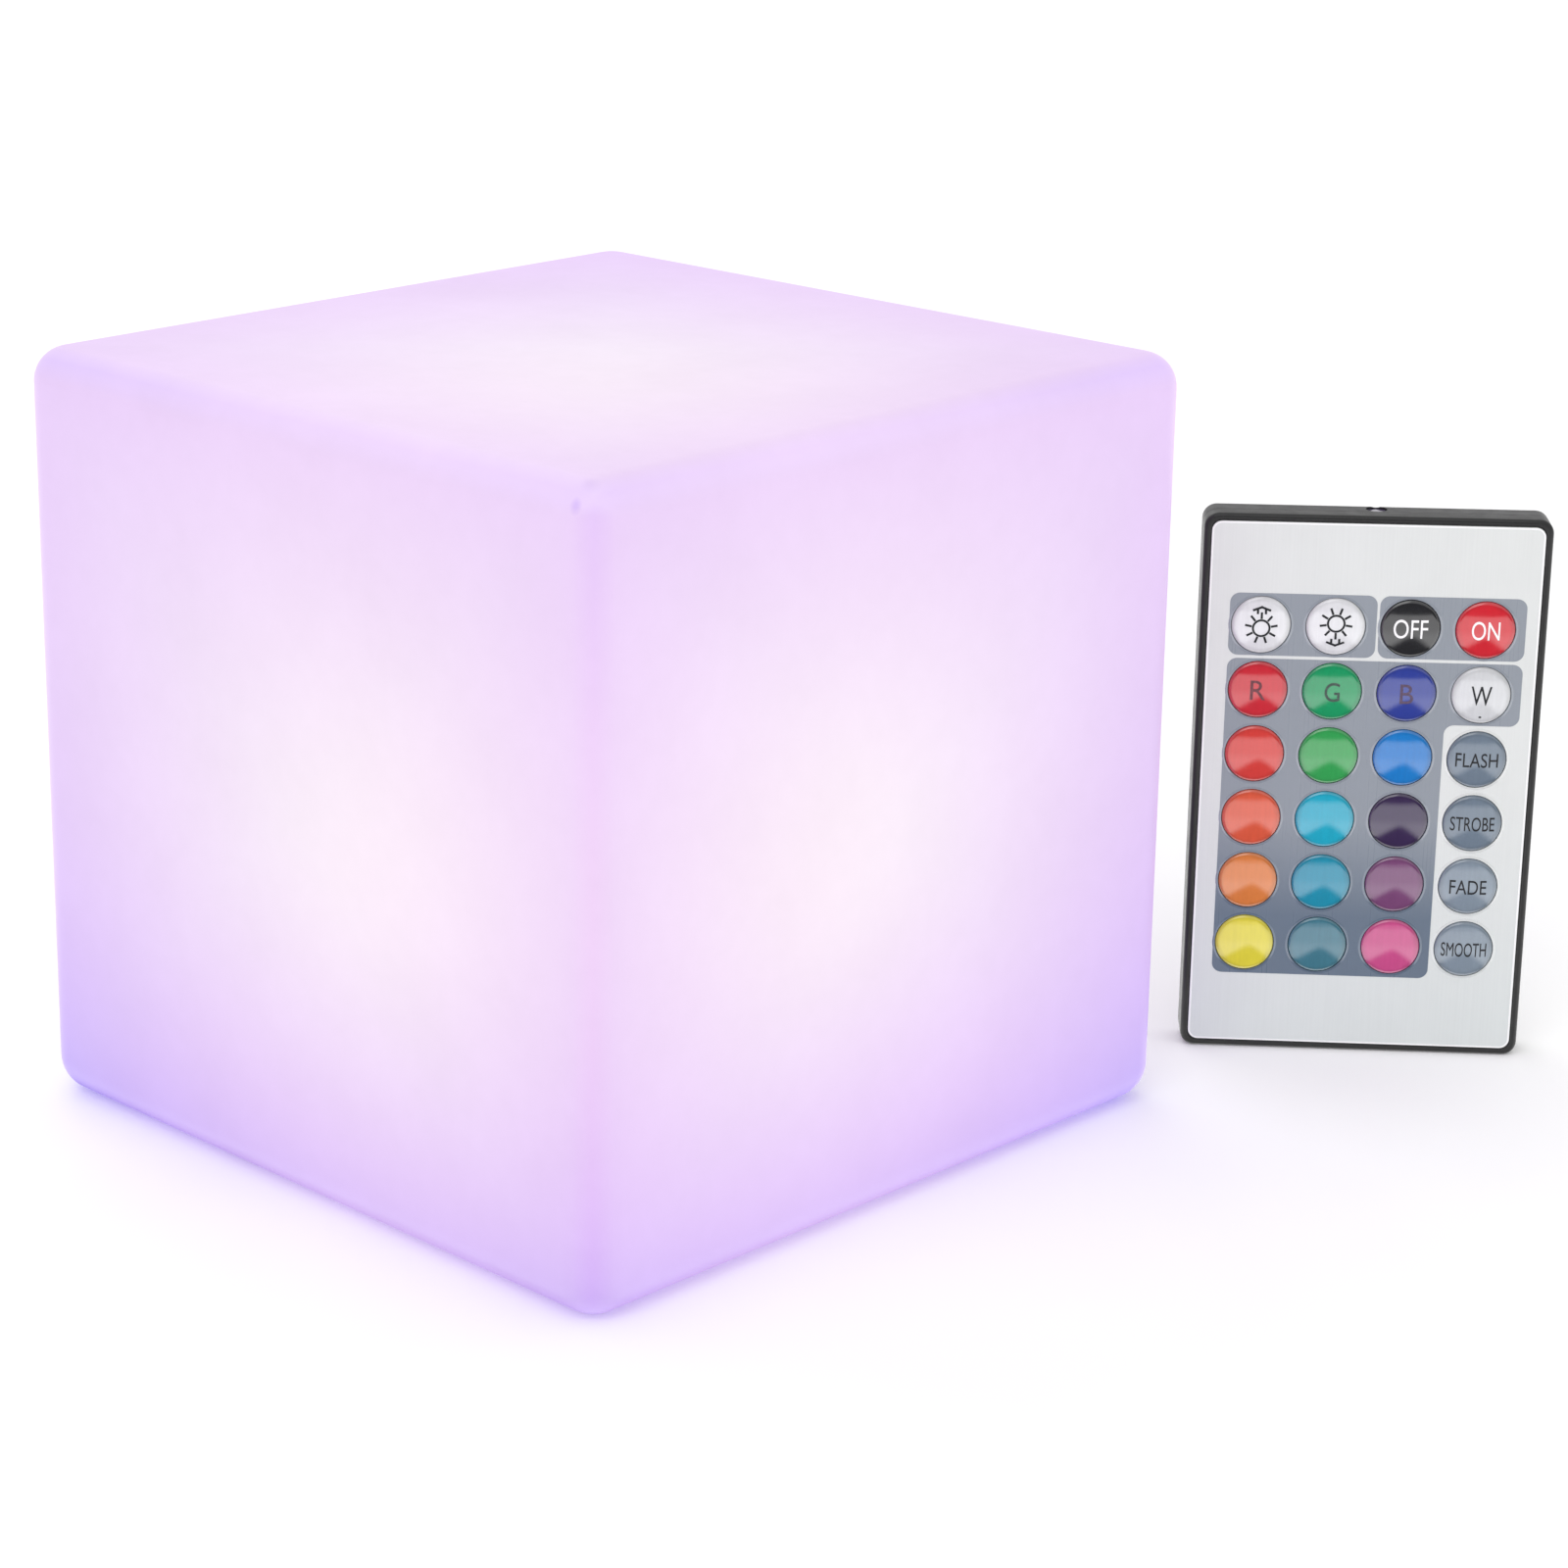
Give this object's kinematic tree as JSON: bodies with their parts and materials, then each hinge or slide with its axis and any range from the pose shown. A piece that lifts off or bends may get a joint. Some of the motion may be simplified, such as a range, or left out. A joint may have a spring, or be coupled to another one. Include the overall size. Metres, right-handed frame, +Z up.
{
  "type": "led cube light",
  "caption": "Cube-shaped glowing light with soft rounded edges, a twist-in rechargeable light module underneath and a slim upright remote with coloured round keys.",
  "frame": {"origin": "centre of the cube's underside, on the surface that it stands on", "axes": "+Z up; the cube's four sides face +X, -X, +Y and -Y; the remote stands apart, past the +Y side and towards +X"},
  "size_m": [0.1481, 0.1775, 0.115],
  "materials": {
    "glow_shell": "translucent moulded plastic, lit from inside in soft violet-pink",
    "module_white": "fine moulded texture",
    "seal_rubber": "matt",
    "circuit_board": "solder mask over glass fibre",
    "chip_black": "moulded",
    "cell_wrap": "shrink wrap",
    "nickel": "plated strip",
    "led_board_white": "white solder mask",
    "led_yellow": "clear resin in a white case",
    "frosted_white": "frosted, translucent",
    "button_rubber": "soft, matt",
    "flap_rubber": "soft, matt",
    "remote_black": "satin moulded",
    "face_silver": "printed silver-white film with grey panels",
    "mat_rubber": "soft, matt",
    "emitter_clear": "tinted clear resin",
    "coin_steel": "plated can",
    "key_pale": "glossy domed cap",
    "key_grey": "glossy domed cap",
    "key_off_gloss": "glossy domed cap",
    "key_on_gloss": "glossy domed cap",
    "key_red_gloss": "glossy domed cap",
    "key_green_gloss": "glossy domed cap",
    "key_blue_gloss": "glossy domed cap",
    "key_light_red_gloss": "glossy domed cap",
    "key_light_green_gloss": "glossy domed cap",
    "key_azure_gloss": "glossy domed cap",
    "key_coral_gloss": "glossy domed cap",
    "key_cyan_gloss": "glossy domed cap",
    "key_purple_gloss": "glossy domed cap",
    "key_orange_gloss": "glossy domed cap",
    "key_sky_blue_gloss": "glossy domed cap",
    "key_plum_gloss": "glossy domed cap",
    "key_yellow_gloss": "glossy domed cap",
    "key_teal_gloss": "glossy domed cap",
    "key_pink_gloss": "glossy domed cap"
  },
  "bodies": {
    "cube": {"cube_shell": "glow_shell"},
    "light_module": {"base_cover": "module_white", "base_seal": "seal_rubber", "control_board": "circuit_board", "control_chips": "chip_black", "battery_cradle": "module_white", "battery_cell": "cell_wrap", "battery_tabs": "nickel", "led_board": "led_board_white", "led_packages": "led_yellow", "ir_receiver": "chip_black", "frosted_lens": "frosted_white", "power_switch": "chip_black", "charge_socket": "chip_black"},
    "power_button": {"power_button": "button_rubber"},
    "port_cover": {"port_cover": "flap_rubber"},
    "remote": {"remote_frame": "remote_black", "remote_back_shell": "remote_black", "face_plate": "face_silver", "keypad_mat": "mat_rubber", "remote_board": "circuit_board", "remote_chip": "chip_black", "ir_emitter": "emitter_clear", "cell_contacts": "nickel"},
    "battery_tray": {"battery_tray": "remote_black", "coin_cell": "coin_steel"},
    "key_brightness_up": {"key_brightness_up": "key_pale"},
    "key_brightness_down": {"key_brightness_down": "key_pale"},
    "key_off": {"key_off": "key_off_gloss"},
    "key_on": {"key_on": "key_on_gloss"},
    "key_red": {"key_red": "key_red_gloss"},
    "key_green": {"key_green": "key_green_gloss"},
    "key_blue": {"key_blue": "key_blue_gloss"},
    "key_white": {"key_white": "key_pale"},
    "key_light_red": {"key_light_red": "key_light_red_gloss"},
    "key_light_green": {"key_light_green": "key_light_green_gloss"},
    "key_azure": {"key_azure": "key_azure_gloss"},
    "key_flash": {"key_flash": "key_grey"},
    "key_coral": {"key_coral": "key_coral_gloss"},
    "key_cyan": {"key_cyan": "key_cyan_gloss"},
    "key_purple": {"key_purple": "key_purple_gloss"},
    "key_strobe": {"key_strobe": "key_grey"},
    "key_orange": {"key_orange": "key_orange_gloss"},
    "key_sky_blue": {"key_sky_blue": "key_sky_blue_gloss"},
    "key_plum": {"key_plum": "key_plum_gloss"},
    "key_fade": {"key_fade": "key_grey"},
    "key_yellow": {"key_yellow": "key_yellow_gloss"},
    "key_teal": {"key_teal": "key_teal_gloss"},
    "key_pink": {"key_pink": "key_pink_gloss"},
    "key_smooth": {"key_smooth": "key_grey"}
  },
  "joints": [
    {"name": "base_twist", "type": "hinge", "parent": "cube", "child": "light_module", "pos_m": [0, 0, 0], "axis": [0, 0, -1], "range_deg": [0, 45]},
    {"name": "battery_tray_slide", "type": "slide", "parent": "remote", "child": "battery_tray", "axis": [0, 0, -1], "range_m": [0, 0.025]},
    {"name": "handset_lift", "type": "slide", "parent": "cube", "child": "remote", "axis": [0, 0, 1], "range_m": [0, 0.15]},
    {"name": "port_cover_open", "type": "hinge", "parent": "light_module", "child": "port_cover", "pos_m": [0.0075, 0.0095, 0.0006], "axis": [0, -1, 0], "range_deg": [0, 95]},
    {"name": "power_button_press", "type": "slide", "parent": "light_module", "child": "power_button", "axis": [0, 0, 1], "range_m": [0, 0.0008], "stiffness_N_per_m": 400, "springref_m": -0.0008},
    {"name": "press_brightness_up", "type": "slide", "parent": "remote", "child": "key_brightness_up", "axis": [-0.6561, 0.7547, 0], "range_m": [0, 0.0004], "stiffness_N_per_m": 600, "springref_m": -0.0006},
    {"name": "press_brightness_down", "type": "slide", "parent": "remote", "child": "key_brightness_down", "axis": [-0.6561, 0.7547, 0], "range_m": [0, 0.0004], "stiffness_N_per_m": 600, "springref_m": -0.0006},
    {"name": "press_off", "type": "slide", "parent": "remote", "child": "key_off", "axis": [-0.6561, 0.7547, 0], "range_m": [0, 0.0004], "stiffness_N_per_m": 600, "springref_m": -0.0006},
    {"name": "press_on", "type": "slide", "parent": "remote", "child": "key_on", "axis": [-0.6561, 0.7547, 0], "range_m": [0, 0.0004], "stiffness_N_per_m": 600, "springref_m": -0.0006},
    {"name": "press_red", "type": "slide", "parent": "remote", "child": "key_red", "axis": [-0.6561, 0.7547, 0], "range_m": [0, 0.0004], "stiffness_N_per_m": 600, "springref_m": -0.0006},
    {"name": "press_green", "type": "slide", "parent": "remote", "child": "key_green", "axis": [-0.6561, 0.7547, 0], "range_m": [0, 0.0004], "stiffness_N_per_m": 600, "springref_m": -0.0006},
    {"name": "press_blue", "type": "slide", "parent": "remote", "child": "key_blue", "axis": [-0.6561, 0.7547, 0], "range_m": [0, 0.0004], "stiffness_N_per_m": 600, "springref_m": -0.0006},
    {"name": "press_white", "type": "slide", "parent": "remote", "child": "key_white", "axis": [-0.6561, 0.7547, 0], "range_m": [0, 0.0004], "stiffness_N_per_m": 600, "springref_m": -0.0006},
    {"name": "press_light_red", "type": "slide", "parent": "remote", "child": "key_light_red", "axis": [-0.6561, 0.7547, 0], "range_m": [0, 0.0004], "stiffness_N_per_m": 600, "springref_m": -0.0006},
    {"name": "press_light_green", "type": "slide", "parent": "remote", "child": "key_light_green", "axis": [-0.6561, 0.7547, 0], "range_m": [0, 0.0004], "stiffness_N_per_m": 600, "springref_m": -0.0006},
    {"name": "press_azure", "type": "slide", "parent": "remote", "child": "key_azure", "axis": [-0.6561, 0.7547, 0], "range_m": [0, 0.0004], "stiffness_N_per_m": 600, "springref_m": -0.0006},
    {"name": "press_flash", "type": "slide", "parent": "remote", "child": "key_flash", "axis": [-0.6561, 0.7547, 0], "range_m": [0, 0.0004], "stiffness_N_per_m": 600, "springref_m": -0.0006},
    {"name": "press_coral", "type": "slide", "parent": "remote", "child": "key_coral", "axis": [-0.6561, 0.7547, 0], "range_m": [0, 0.0004], "stiffness_N_per_m": 600, "springref_m": -0.0006},
    {"name": "press_cyan", "type": "slide", "parent": "remote", "child": "key_cyan", "axis": [-0.6561, 0.7547, 0], "range_m": [0, 0.0004], "stiffness_N_per_m": 600, "springref_m": -0.0006},
    {"name": "press_purple", "type": "slide", "parent": "remote", "child": "key_purple", "axis": [-0.6561, 0.7547, 0], "range_m": [0, 0.0004], "stiffness_N_per_m": 600, "springref_m": -0.0006},
    {"name": "press_strobe", "type": "slide", "parent": "remote", "child": "key_strobe", "axis": [-0.6561, 0.7547, 0], "range_m": [0, 0.0004], "stiffness_N_per_m": 600, "springref_m": -0.0006},
    {"name": "press_orange", "type": "slide", "parent": "remote", "child": "key_orange", "axis": [-0.6561, 0.7547, 0], "range_m": [0, 0.0004], "stiffness_N_per_m": 600, "springref_m": -0.0006},
    {"name": "press_sky_blue", "type": "slide", "parent": "remote", "child": "key_sky_blue", "axis": [-0.6561, 0.7547, 0], "range_m": [0, 0.0004], "stiffness_N_per_m": 600, "springref_m": -0.0006},
    {"name": "press_plum", "type": "slide", "parent": "remote", "child": "key_plum", "axis": [-0.6561, 0.7547, 0], "range_m": [0, 0.0004], "stiffness_N_per_m": 600, "springref_m": -0.0006},
    {"name": "press_fade", "type": "slide", "parent": "remote", "child": "key_fade", "axis": [-0.6561, 0.7547, 0], "range_m": [0, 0.0004], "stiffness_N_per_m": 600, "springref_m": -0.0006},
    {"name": "press_yellow", "type": "slide", "parent": "remote", "child": "key_yellow", "axis": [-0.6561, 0.7547, 0], "range_m": [0, 0.0004], "stiffness_N_per_m": 600, "springref_m": -0.0006},
    {"name": "press_teal", "type": "slide", "parent": "remote", "child": "key_teal", "axis": [-0.6561, 0.7547, 0], "range_m": [0, 0.0004], "stiffness_N_per_m": 600, "springref_m": -0.0006},
    {"name": "press_pink", "type": "slide", "parent": "remote", "child": "key_pink", "axis": [-0.6561, 0.7547, 0], "range_m": [0, 0.0004], "stiffness_N_per_m": 600, "springref_m": -0.0006},
    {"name": "press_smooth", "type": "slide", "parent": "remote", "child": "key_smooth", "axis": [-0.6561, 0.7547, 0], "range_m": [0, 0.0004], "stiffness_N_per_m": 600, "springref_m": -0.0006}
  ]
}
